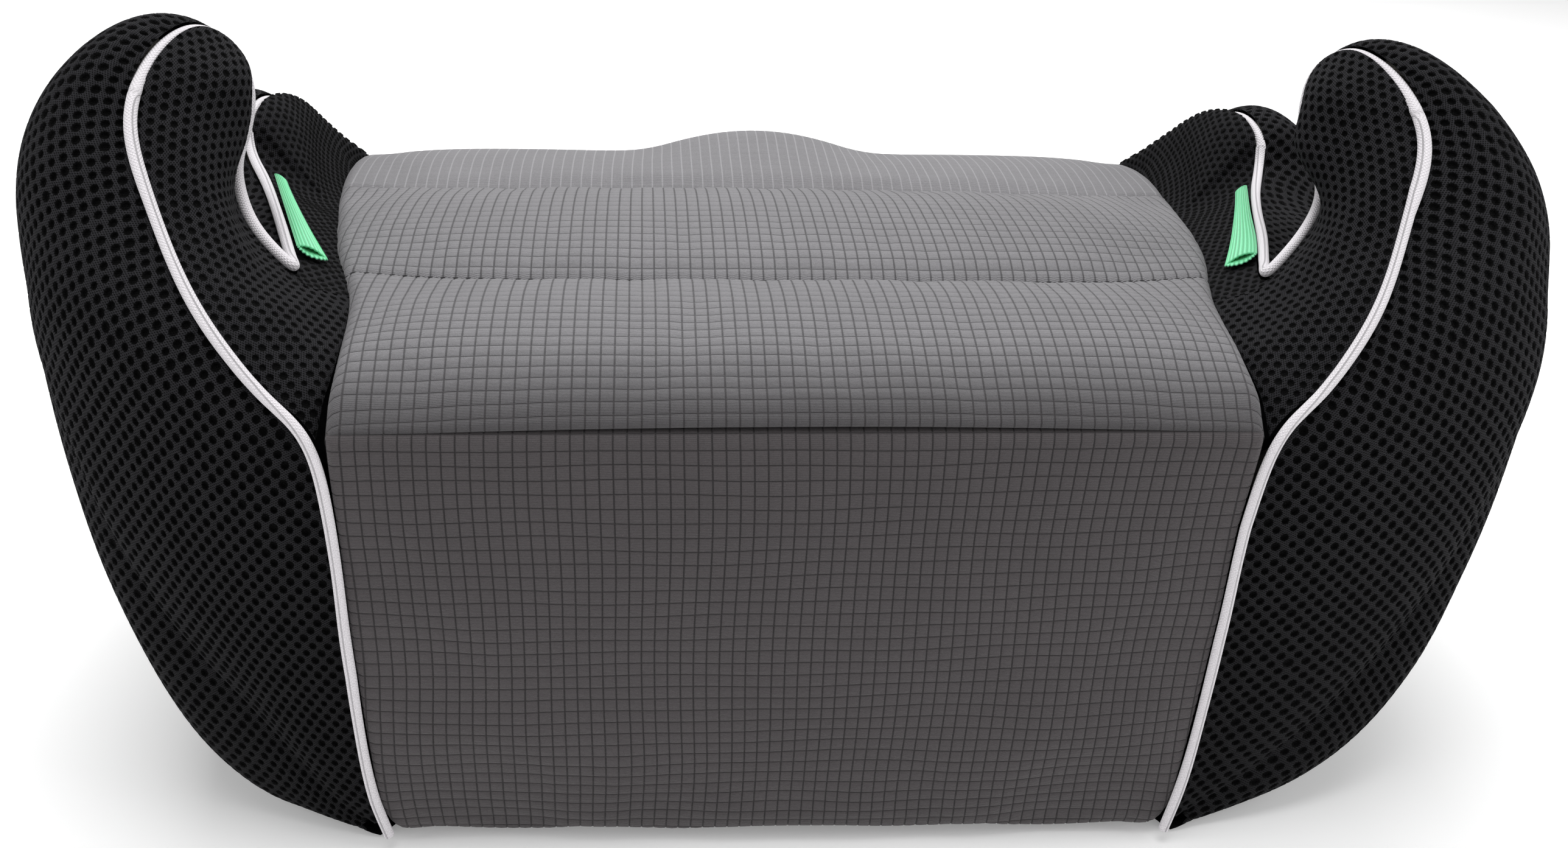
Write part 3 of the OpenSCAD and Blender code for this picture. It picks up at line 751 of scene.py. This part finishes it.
def outer_grid():
    """Outer side: ribs from the piping over the widest line to the foot, and in to the hem."""
    k = np.linspace(0, LAST, RIBS)
    e = along(BULGE, k)
    c = beside(k, e, 1.5)
    w, f = along(WIDEST, k), foot(k)
    rise = np.maximum(c[:, 2] - w[:, 2], 8) * 0.55
    top = w + stack(0, (c[:, 1] - w[:, 1]) * 0.25, rise)
    low = w - stack(0, 0, w[:, 2] * 0.52)
    toe = f + stack((w[:, 0] - f[:, 0]) * 0.6, (w[:, 1] - f[:, 1]) * 0.6, w[:, 2] * 0.03)
    a = bezier(c, c + 0.9 * e, top, w, np.linspace(0, 1, UPPER))
    b = bezier(w, low, toe, f, np.linspace(0, 1, LOWER)[1:])
    hem = f + inward(f) * HEM_IN + [0, 0, 0.3]
    t = np.linspace(0, 1, UNDER)[None, 1:, None]
    return np.concatenate([a, b, f[:, None] * (1 - t) + hem[:, None] * t], 1)


NOTCH = 15           # rib at the bottom of the belt notch
# Handles of the horn's inner face at its front and rear piping, from the seat seam to the tip
FACE_AT = [0, 0.14, 0.3, 0.5, 0.7, 0.85, 1.0]
FACE_FRONT = [[-2, 4, 1], [-7, 6, 0], [-12, 6, -1], [-20, 7, -2], [-26, 6, -3],
              [-24, 3, -2], [-12, 2, 2]]
FACE_REAR = {"right": [[-1, -4, 0], [-3, -10, -1], [-3, -13, 0], [-3, -15, 1], [-8, -14, 1],
                       [-12, -10, 2], [-6, -4, 3]],
             "left": [[-1, -4, 0], [-4, -9, -1], [-5, -10, 0], [-5, -10, 1], [-17, -9, 1],
                      [-14, -10, 2], [-6, -4, 3]]}


def side_seam(y):
    """Where the inner face is sewn to the seat top, a little below its edge."""
    return seam(y) + [0.3, 0, -2.6]


def lobe_grid():
    """Inner face beside the belt notch and the rear lobe: ribs from piping to seat seam."""
    k = np.linspace(NOTCH, FIRST + len(SEAM_Y) - 1, 84)
    r = along(REACH, k - FIRST)
    c = beside(k, r)
    s = side_seam(along(SEAM_Y, k - FIRST))
    b = s + (c - s) * [0.45, 0.2, 0.14] + [0, 0, 2.6]
    return bezier(c, c + 0.9 * r, b, s, np.linspace(0, 1, 26))


def face_grid(first_rib, side):
    """Inner face of the horn, between the piping up its front and the piping down its rear."""
    low, high, wide = 9, 44, 44          # rows beside the seat seam, rows above, points across
    kf, level = (np.concatenate([np.linspace(a, b, low)[:-1], np.linspace(b, c, high)])
                 for a, b, c in ((FIRST, FIRST + 1.2, 9.4), (0, FACE_AT[1], 1)))
    kr = np.linspace(NOTCH, 10.6, high)
    at = np.interp(level, FACE_AT, np.arange(len(FACE_AT)))
    tf, tr = along(FACE_FRONT, at), along(FACE_REAR[side], at)
    front = beside(kf, tf)
    rise = along(first_rib, np.linspace(len(first_rib) - 1, 0, low))[:-1]
    rear = np.concatenate([rise, beside(kr, tr[low - 1:])])
    a = np.linspace(0, 1, wide)
    loft = bezier(front, front + tf, rear + tr, rear, a)
    bottom = side_seam(np.interp(a, [0, 1], [SEAM_Y[0], SEAM_Y[NOTCH - FIRST]]))
    a = a[:, None]
    bottom += (front[0] - bottom[0]) * (1 - a) ** 4 + (rear[0] - bottom[-1]) * a ** 4
    kt = np.linspace(kf[-1], kr[-1], wide)
    top = beside(kt, along(REACH, kt - FIRST))
    b = level[:, None, None]
    return loft + (1 - b) ** 4 * (bottom - loft[0])[None] + b ** 5 * (top - loft[-1])[None]


def lean_share(grid):
    """How far each point of the outer side follows the stuffing: most at the widest line."""
    n, m = grid.shape[:2]
    row = np.arange(m)[None, :]
    share = part(row / (0.75 * UPPER)) * part((m - 6 - row) / (0.6 * UPPER))
    share = share * part((235 - grid[..., 2]) / 90)
    k = np.linspace(0, LAST, n)[:, None]
    share = share * part(k / 1.5) * part((LAST - k) / 2)
    return share * share * (3 - 2 * share)


def shell(outer, inner):
    """Closed solid between two grids of the same size."""
    n, m = outer.shape[:2]
    f = grid_faces(n, m)
    i = np.arange(n * m).reshape(n, m)
    rim = np.concatenate([i[0], i[1:, -1], i[-1, -2::-1], i[-2:0:-1, 0]])
    nxt = np.roll(rim, -1)
    faces = np.concatenate([f, f[:, ::-1] + n * m, stack(rim, nxt, nxt + n * m, rim + n * m)])
    return np.concatenate([outer.reshape(-1, 3), inner.reshape(-1, 3)]), faces[:, ::-1]


# The stuffing sits a little to the seat's left: shift of each side's widest line
LEAN = {"left": [12.0, 0, 0], "right": [5.8, 0, 0]}
PAD = slice(30, 126), slice(6, 40)       # part of the outer side that has foam behind it
PAD_FROM, PAD_TO = 4.5, 9.0              # the foam's depths behind the cover


def add_piece(name, points, faces, material, slot, *nodes, cloth=None, body="seat", fill=None):
    """Finished piece that rides on a body and replaces CAD nodes; fill is not used."""
    ob = make_object(name, stand(points), faces, material, cloth)
    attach(ob, body)
    if nodes:
        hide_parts(*nodes)
    return ob


def outer_pieces():
    base = settle("outer_settling", outer_grid(), 1.2, 2.0, 0.01)
    share = lean_share(base)[..., None]
    skin = Skin(refined(base), refined(flatten(base, (8, 25), (22, 8))), refined(share))
    p, f, cloth, follow = hole_cloth(skin, -1, 0.74, (1.33, 1.56), HOLE_X, HOLE_Y)
    inside = grid_normals(base)
    pad, pad_faces = shell(*((base + inside * d)[PAD] for d in (PAD_FROM, PAD_TO)))
    pad_follow = np.concatenate([share[PAD].reshape(-1, 1)] * 2)
    for (side, q, g), (_, pad_q, pad_g) in zip(both_sides(p, f), both_sides(pad, pad_faces)):
        add_piece("outer_mesh_" + side, q + follow * LEAN[side], g, MESH, "spacer_mesh",
                  f"outer_mesh_panel_{side}", cloth=cloth, fill=0.7)
        add_piece("armrest_pad_" + side, pad_q + pad_follow * LEAN[side], pad_g, FOAM, "foam",
                  f"armrest_foam_{side}", fill=0.8)


def inner_pieces():
    lobe = lobe_grid()
    lobe_cloth = inner_cloth(settle("lobe_settling", lobe, 1.2, 1.5, 0.01), (30, 25), (30, 6), -1)
    for side in ("left", "right"):
        face = settle("face_settling_" + side, face_grid(lobe[0], side), 1.2, -1.5, 0.01)
        parts = [lobe_cloth, inner_cloth(face, (12, 22), (44, 22), 1)]
        p, cloth = (np.concatenate([piece[i] for piece in parts]) for i in (0, 2))
        f = np.concatenate([parts[0][1], parts[1][1] + len(parts[0][0])])
        if side == "right":
            p, f = mirrored(p, f)
        add_piece("inner_mesh_" + side, p, f, MESH, "spacer_mesh",
                  f"inner_mesh_panel_{side}", cloth=cloth, fill=0.7)


def inner_cloth(grid, low, high, sign):
    """Holes in an inner panel, whose mesh is cut the other way of the cloth."""
    flat = flatten(grid, low, high)[..., ::-1] * [1, -1]
    return hole_cloth(Skin(refined(grid), refined(flat)), sign, 0.46, (1.2, 1.14), 3.25, 3.1)[:3]


def stand(p):
    """The photographed cover's own stance: small shifts that its two sides don't share."""
    x, y, z = p.T
    q = p.copy()
    # the front hem stands a little forward of the base, most on the seat's left
    low = part(1 - z / 80) ** 1.4 * part((-y - 30) / 80)
    q[:, 1] -= (7 + 4 * np.clip(x / 130, -1, 1)) * low
    # and its front corners are drawn a little to the seat's right
    front = part((-y - 100) / 40)
    q[:, 0] -= 2.2 * front * part((158 - z) / 40) * part(x / 120)
    q[:, 0] -= 1.5 * front * part((70 - z) / 50) * part(-x / 120)
    # the left horn's rear piping sits a little further out, under its nose and at its neck
    tuck = bell(y + 50, 16) * bell(z - 218, 17)
    neck = bell(y + 62, 18) * bell(z - 193, 13)
    q[:, 0] += (3.5 * tuck + 4.5 * neck) * part((188 - x) / 12) * (x > 0)
    # both horns are stuffed outward near the top, the left one more
    dome = bell(z - 203, 27) * part((np.abs(x) - 182) / 30) * part((20 - y) / 50)
    q[:, 0] += np.where(x > 0, 8.5, -1.6) * dome
    return q


# ---- grid knit pieces

IN_CELL = np.array([0.0, 0.105, 0.5, 0.895])     # points across one cell
LIFT_AT = np.array([-1.0, -0.12, 0.22, -0.12])   # their height, in groove depths


def cell_stations(first, last):
    """Stations across cells first to last, with each one's groove height and cell coordinate."""
    cells = np.arange(first, last)
    u = (cells[:, None] + IN_CELL).ravel()
    lift = np.tile(LIFT_AT, len(cells))
    return np.append(u, last), np.append(lift, -1.0)


def cell_grid(reach, rows):
    """Cell coordinates and groove heights of a knit that reaches this far to each side."""
    last = int(reach / CELL) + 1
    u, lift_u = cell_stations(-last, last)
    v, lift_v = cell_stations(0, rows)
    return *np.meshgrid(u, v), *np.meshgrid(lift_u, lift_v)


def add_knit(name, p, uu, vv, flip, *rest, **more):
    """Knit piece from a grid of points and their cell coordinates."""
    points, cloth = p.reshape(-1, 3), stack(uu, vv, 0.0).reshape(-1, 3)
    faces = drop_flat(points, grid_faces(*uu.shape), 0.02)
    return add_piece(name, points, faces[:, ::-1] if flip else faces, *rest, cloth=cloth, **more)


def lengths(points):
    """Length along a path at each of its points."""
    step = np.linalg.norm(np.diff(points, axis=0), axis=1)
    return np.concatenate([[0], np.cumsum(step)])


def seat_height(x, y):
    across = np.abs(x) / lookup(y, SEAM_HALF)
    bump = bell(x, 48) * bell(y - 94, 26)
    z = lookup(y, MID_HIGH) * (1 - across ** 2) + lookup(y, SEAM_HIGH) * across ** 2 + 9 * bump
    for s in SEAMS[1:3]:
        z = z - (1 - across ** 6) * 3.0 * bell(y - s, 6)
    return z


def channel_rows():
    """Depth stations, one per row line of cells, evenly spaced in each channel."""
    out = [np.array([SEAMS[0]])]
    for a, b in zip(SEAMS, SEAMS[1:]):
        y = np.linspace(a, b, 200)
        s = lengths(stack(y, seat_height(0 * y, y)))
        out.append(np.interp(np.linspace(0, s[-1], ROWS + 1)[1:], s, y))
    return np.concatenate(out)


ROW_Y = channel_rows()
SEAM_ROWS = (0, ROWS, 2 * ROWS, 3 * ROWS)


MID = 30             # the seat surface has this many columns to each side of its middle


def seat_base():
    """Coarse seat surface: one row per row line, columns evenly across, puffed between seams."""
    across = np.linspace(-1, 1, 2 * MID + 1)
    y = np.repeat(ROW_Y[:, None], 2 * MID + 1, 1)
    x = across * lookup(ROW_Y, SEAM_HALF)[:, None]
    v = np.arange(len(ROW_Y)) / ROWS
    t = v - np.floor(np.minimum(v, 2.999))       # 0 to 1 over each of the three channels
    crown = (1 - np.abs(2 * t - 1) ** 2.4)[:, None] * (1 - np.abs(across) ** 5)
    grid = stack(x, y, seat_height(x, y) + 1.3 * crown)
    return settle("seat_settling", grid, 2.4, 3.0, 0.015, SEAM_ROWS)


def add_seat_top(base):
    normals = -grid_normals(base)
    uu, vv, lu, lv = cell_grid(max(half for _, half in SEAM_HALF), 3 * ROWS)
    y = along(ROW_Y, vv)
    half = lookup(y, SEAM_HALF)
    x = np.clip(uu * CELL, -half, half)
    j = (x / half + 1) * MID
    # stitched seams pull the knit down, most at each column line where the needle goes in
    depth = GROOVE * np.minimum(0.8 * lu, lv) * np.clip((2 * ROWS + 0.3 - vv) / 0.3, 0.25, 1)
    needle = np.cos(2 * math.pi * uu)
    for r in SEAM_ROWS[1:3]:
        d = (vv - r) * ROW
        depth -= 1.3 * bell(d, 0.9) + (0.35 * bell(d, 0.8) + 0.16 * bell(d, 2.2)) * needle
    p = sample(base, vv, j) + unit(sample(normals, vv, j)) * depth[..., None]
    # the side edges turn down into the side seams
    turn = part(1 - (half - np.abs(x)) / 4.0)
    p[..., 2] -= 2.8 * turn ** 2
    p[..., 0] += np.sign(p[..., 0]) * 0.3 * turn
    # the front edge turns in to the front seam
    roll = part(1 - vv / 0.8)
    p[..., 1] += 1.6 * roll ** 2
    p[..., 2] -= 0.8 * roll ** 2
    p = np.concatenate([p[:1] + [0, 3.0, -1.2], p, p[-1:] + [0, -3.0, -2.0]])
    uu = np.concatenate([uu[:1], uu, uu[-1:]])
    vv = np.concatenate([vv[:1] - 0.8, vv, vv[-1:] + 0.8])
    add_knit("seat_top", p, uu, vv, True, SEAT_KNIT, "seat_fabric", "seat_cover", fill=0.75)
    add_stitches(base, normals)


def add_seat_foam(base):
    """Foam block under the seat top, rounded off at its edges."""
    base = base[6:-5]
    up = grid_normals(base)
    top = base + up * np.where(up[..., 2:] > 0, -1, 1) * 4.2
    top[..., 0] *= 0.972
    low = top.copy()
    low[..., 2] = 131.0
    low[..., :2] *= 0.985
    add_piece("seat_foam_block", *shell(top, low), FOAM, "foam", "seat_foam", fill=0.8)


def tube(path, u, v, radius, sides):
    """Rings of points round a path, in the plane of u and v."""
    a = 2 * math.pi * np.arange(sides) / sides
    ring = u[:, None] * np.cos(a)[:, None] + v[:, None] * np.sin(a)[:, None]
    return (path[:, None] + radius[..., None] * ring).reshape(-1, 3)


def add_stitches(base, normals):
    """Thread along the two stitched seams, one stitch to a column."""
    rings, sides = 5, 6
    arch = 1 - np.linspace(-1, 1, rings) ** 2
    thick = (0.27 * (0.45 + 0.55 * arch))[:, None]
    points = []
    for r in SEAM_ROWS[1:3]:
        half = float(lookup(ROW_Y[r], SEAM_HALF))
        for c in range(-int(half / CELL), int(half / CELL)):
            j = (np.linspace(c + 0.14, c + 0.86, rings) * CELL / half + 1) * MID
            i = np.full(rings, float(r))
            nrm = unit(sample(normals, i, j))
            p = sample(base, i, j) + nrm * (-1.75 + 0.55 * arch)[:, None]
            points.append(tube(p, np.tile([0, 1, 0], (rings, 1)), nrm, thick, sides))
    count = rings * sides
    faces = [grid_faces(rings, sides, True)[:, ::-1] + i * count for i in range(len(points))]
    add_piece("seat_stitches", np.concatenate(points), np.concatenate(faces), THREAD,
              "seat_fabric")


def add_panel(name, edge, swell, facing, node):
    """Front or rear panel of grid knit, from its top seam down and under to the hem."""
    rows, mid = 71, 26                   # rows of the coarse surface, columns to each side
    k = np.linspace(0, len(edge) - 1, rows)
    e = along(edge, k)
    e[:, 0] = np.maximum(e[:, 0], FOOT_Z)
    lift = swell * np.sin(math.pi * np.minimum(k / 5, 1))
    across = np.linspace(-1, 1, 2 * mid + 1)
    x = across * e[:, 1:2]
    y = e[:, 2:3] + facing * lift[:, None] * (1 - np.abs(across) ** 2.5)
    base = settle(name + "_settling", stack(x, y, e[:, :1]), 1.5, -1.5 * facing, 0.01)
    arc = lengths(base[:, mid, 1:])
    count = int(arc[-1] / ROW)
    uu, vv, lu, lv = cell_grid(e[:, 1].max(), count)
    # hand-laid cloth: its rows and columns aren't quite straight
    sway = 0.35 * np.sin(uu * 0.21 + vv * 0.4) + 0.22 * np.sin(uu * 0.43 - vv * 0.9)
    wobble = 0.35 * np.sin(vv * 0.33 + uu * 0.11) + 0.25 * np.sin(vv * 0.21 - uu * 0.17)
    i = np.interp(vv * ROW + sway * part(vv / 2), arc, np.arange(rows))
    half = along(e[:, 1], i)
    x = np.clip(uu * CELL + wobble, -half, half)
    j = (x / half + 1) * mid
    nrm = unit(sample(grid_normals(base), i, j))
    nrm = nrm * np.where((nrm[..., 1] * facing).mean() > 0, 1, -1)
    p = sample(base, i, j) + nrm * (GROOVE * np.minimum(lu, lv))[..., None]
    # its side edges and its top edge turn in to their seams
    turn, top = part(1 - (half - np.abs(x)) / 2.5), part(1 - vv / 0.7)
    p[..., 1] -= facing * 1.3 * turn ** 2
    p[..., 1] -= facing * 1.6 * top ** 2
    p = np.concatenate([p[:1] + [0, -facing * 3.0, 1.0], p])
    uu = np.concatenate([uu[:1], uu])
    vv = np.concatenate([vv[:1] - 0.7, vv])
    ob = add_knit(name, p, uu, vv, facing > 0, SHADED_PANEL_KNIT, "panel_fabric", node)


# ---- piping, tags, hem

def frames(path, ref):
    """Two directions square to a path, the first one towards ref."""
    t = unit(np.gradient(path, axis=0))
    u = unit(ref - (ref * t).sum(-1, keepdims=True) * t)
    return u, np.cross(t, u)


def even(path, step):
    """The same path with points a step apart, each point's length along it, and the old ones'."""
    s = lengths(path)
    at = np.linspace(0, s[-1], int(s[-1] / step) + 1)
    return stack(*(np.interp(at, s, path[:, i]) for i in range(3))), at, s


# The bead is pulled thinner down the front and round the notch: its share of full size by rib
PIPE_SIZE = ([0, 4.5, 6, 8, 10, 11.5, 13, 18, 21, 29],
             [0.87, 0.86, 0.88, 0.9, 1.0, 1.0, 0.86, 0.84, 0.92, 0.9])
# and how far it stands proud of the guide line, in millimetres
PIPE_PROUD = [0, 4.5, 5.5, 7.5, 10, 29], [0.7, 0.7, 0.25, 0.25, 0.7, 0.7]


def add_piping():
    """Bead on the guide line; its weave of two slanted ribs shows in its shape too."""
    k = np.linspace(0, LAST, 900)
    path, at, s = even(ridge(k), 0.55)
    k = np.interp(at, s, k)
    out = ridge_out(k)
    u, v = frames(path, out)
    sides = 20
    around = 2 * math.pi * np.arange(sides) / sides * BEAD
    weave = [np.sin(2 * math.pi * (at[:, None] + slant * around) / 1.1) for slant in (0.8, -0.8)]
    path = path + out * np.interp(k, *PIPE_PROUD)[:, None]
    size = BEAD * np.interp(k, *PIPE_SIZE) * (1 + 0.03 * np.sin(at / 9.0))
    points = tube(path, u, v, size[:, None] + 0.05 * weave[0] * weave[1], sides)
    cloth = stack(at[:, None], around, 0.0).reshape(-1, 3)
    faces = grid_faces(len(at), sides, True)[:, ::-1]
    for side, q, f in both_sides(points, faces):
        add_piece("piping_bead_" + side, q, f, PIPE, "piping_fabric", f"piping_{side}",
                  cloth=cloth)


TAG_LENGTH, TAG_RIBS, TAG_THICK = 65.0, 20, 0.45
TAG_TURN = np.array(Euler([math.radians(a) for a in (-34, -3, 72.5)]).to_matrix())
TAG_PLACE = [151.4, -72.5, 175.6]


def add_tags():
    """Ribbon folded into a loop, pinched flat at its upper end, open at its lower one."""
    rows, cols = 100, 132
    s = 1 - np.linspace(1, 0, rows)[:, None] ** 1.4
    end = part((1 - s) / 0.03)
    tip = np.sqrt(end * (2 - end))
    width = (4.2 + 6.2 * (1 - s) ** 1.6) * (0.25 + 0.75 * tip)
    gap = (0.8 * (1 - s) ** 0.7 + 1.4) * (0.3 + 0.7 * tip)
    t = np.linspace(0, 1, cols)
    angle = math.pi * (2 * t - 1)            # from the stitching round the fold and back
    lens_y = (1 + np.cos(angle)) / 2         # 0 at the stitching, 1 at the fold
    lens_z = np.sin(angle) * 0.5 * (0.35 + 0.65 * np.sin(math.pi * lens_y ** 0.7))
    x = s * TAG_LENGTH + (1 - s) * (1.4 * np.sin(angle) + 0.8 * lens_y)
    y, z = width * lens_y, gap * lens_z
    n_y, n_z = np.gradient(z, axis=1), -np.gradient(y, axis=1)
    size = np.hypot(n_y, n_z) + 1e-6
    n_y, n_z = n_y / size, n_z / size
    rib = 0.14 * np.cos(2 * math.pi * TAG_RIBS * t)
    # 0.8 keeps it clear of the bead when it folds, 0.9 off the mesh at rest
    points = np.concatenate([
        stack(x, y + 0.8 + d * n_y, z + 0.9 + d * n_z).reshape(-1, 3)
        for d in (rib, rib - TAG_THICK)])
    cloth = stack(t * TAG_RIBS * TAG_RIB, x, 0.0).reshape(-1, 3)
    faces = grid_faces(rows, cols)
    k = rows * cols
    j = np.arange(cols - 1)
    far = j + (rows - 1) * cols
    rim = stack(j, j + 1, j + 1 + k, j + k, far, far + k, far + 1 + k, far + 1)
    faces = np.concatenate([faces, faces[:, ::-1] + k, rim.reshape(-1, 4)])[:, ::-1]
    for side, q, f in both_sides(points @ TAG_TURN.T + TAG_PLACE, faces):
        add_piece("ribbon_tag_" + side, q, f, RIBBON, "tag_ribbon", f"belt_tag_{side}",
                  cloth=np.concatenate([cloth, cloth]), body="tag_" + side)


def add_hem():
    """Gathered casing round the elastic, along the cover's inner hem."""
    f = foot(np.linspace(0, LAST, 240))
    half = f + inward(f) * (HEM_IN + 2.3) + [0, 0, 2.9]
    path, at, _ = even(np.concatenate([half, half[::-1] * [-1, 1, 1], half[:1]]), 1.0)
    u, v = frames(path, np.array([0, 0, 1.0]))
    sides = 12
    a = 2 * math.pi * np.arange(sides) / sides
    at = at[:, None]
    gather = 0.35 * np.sin(2 * math.pi * at / 4.7) * (1 + 0.4 * np.sin(a)) + 0.2 * np.sin(at * 1.9)
    add_piece("hem_casing", tube(path, u, v, 2.2 + gather, sides),
              grid_faces(len(at), sides, True)[:, ::-1], ELASTIC, "elastic", "hem_elastic")


def dress_frame():
    """Better materials on the CAD pieces that stay as they are."""
    looks = {"base_shell": PLASTIC, "armrest_core_left": CORE, "armrest_core_right": CORE,
             "armrest_screws": STEEL, "hem_hooks": HOOK, "rubber_feet": RUBBER}
    for name, mat in looks.items():
        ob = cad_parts[name]
        for s in ob.material_slots:
            s.material = mat
        if not ob.material_slots:
            ob.data.materials.append(mat)


make_camera()
make_studio()
make_floor()
outer_pieces()
inner_pieces()
seat = seat_base()
add_seat_top(seat)
add_seat_foam(seat)
add_panel("front_knit", FRONT_EDGE, 5.0, -1, "front_panel")
add_panel("rear_knit", REAR_EDGE, 10.4, 1, "rear_panel")
add_piping()
add_tags()
add_hem()
dress_frame()
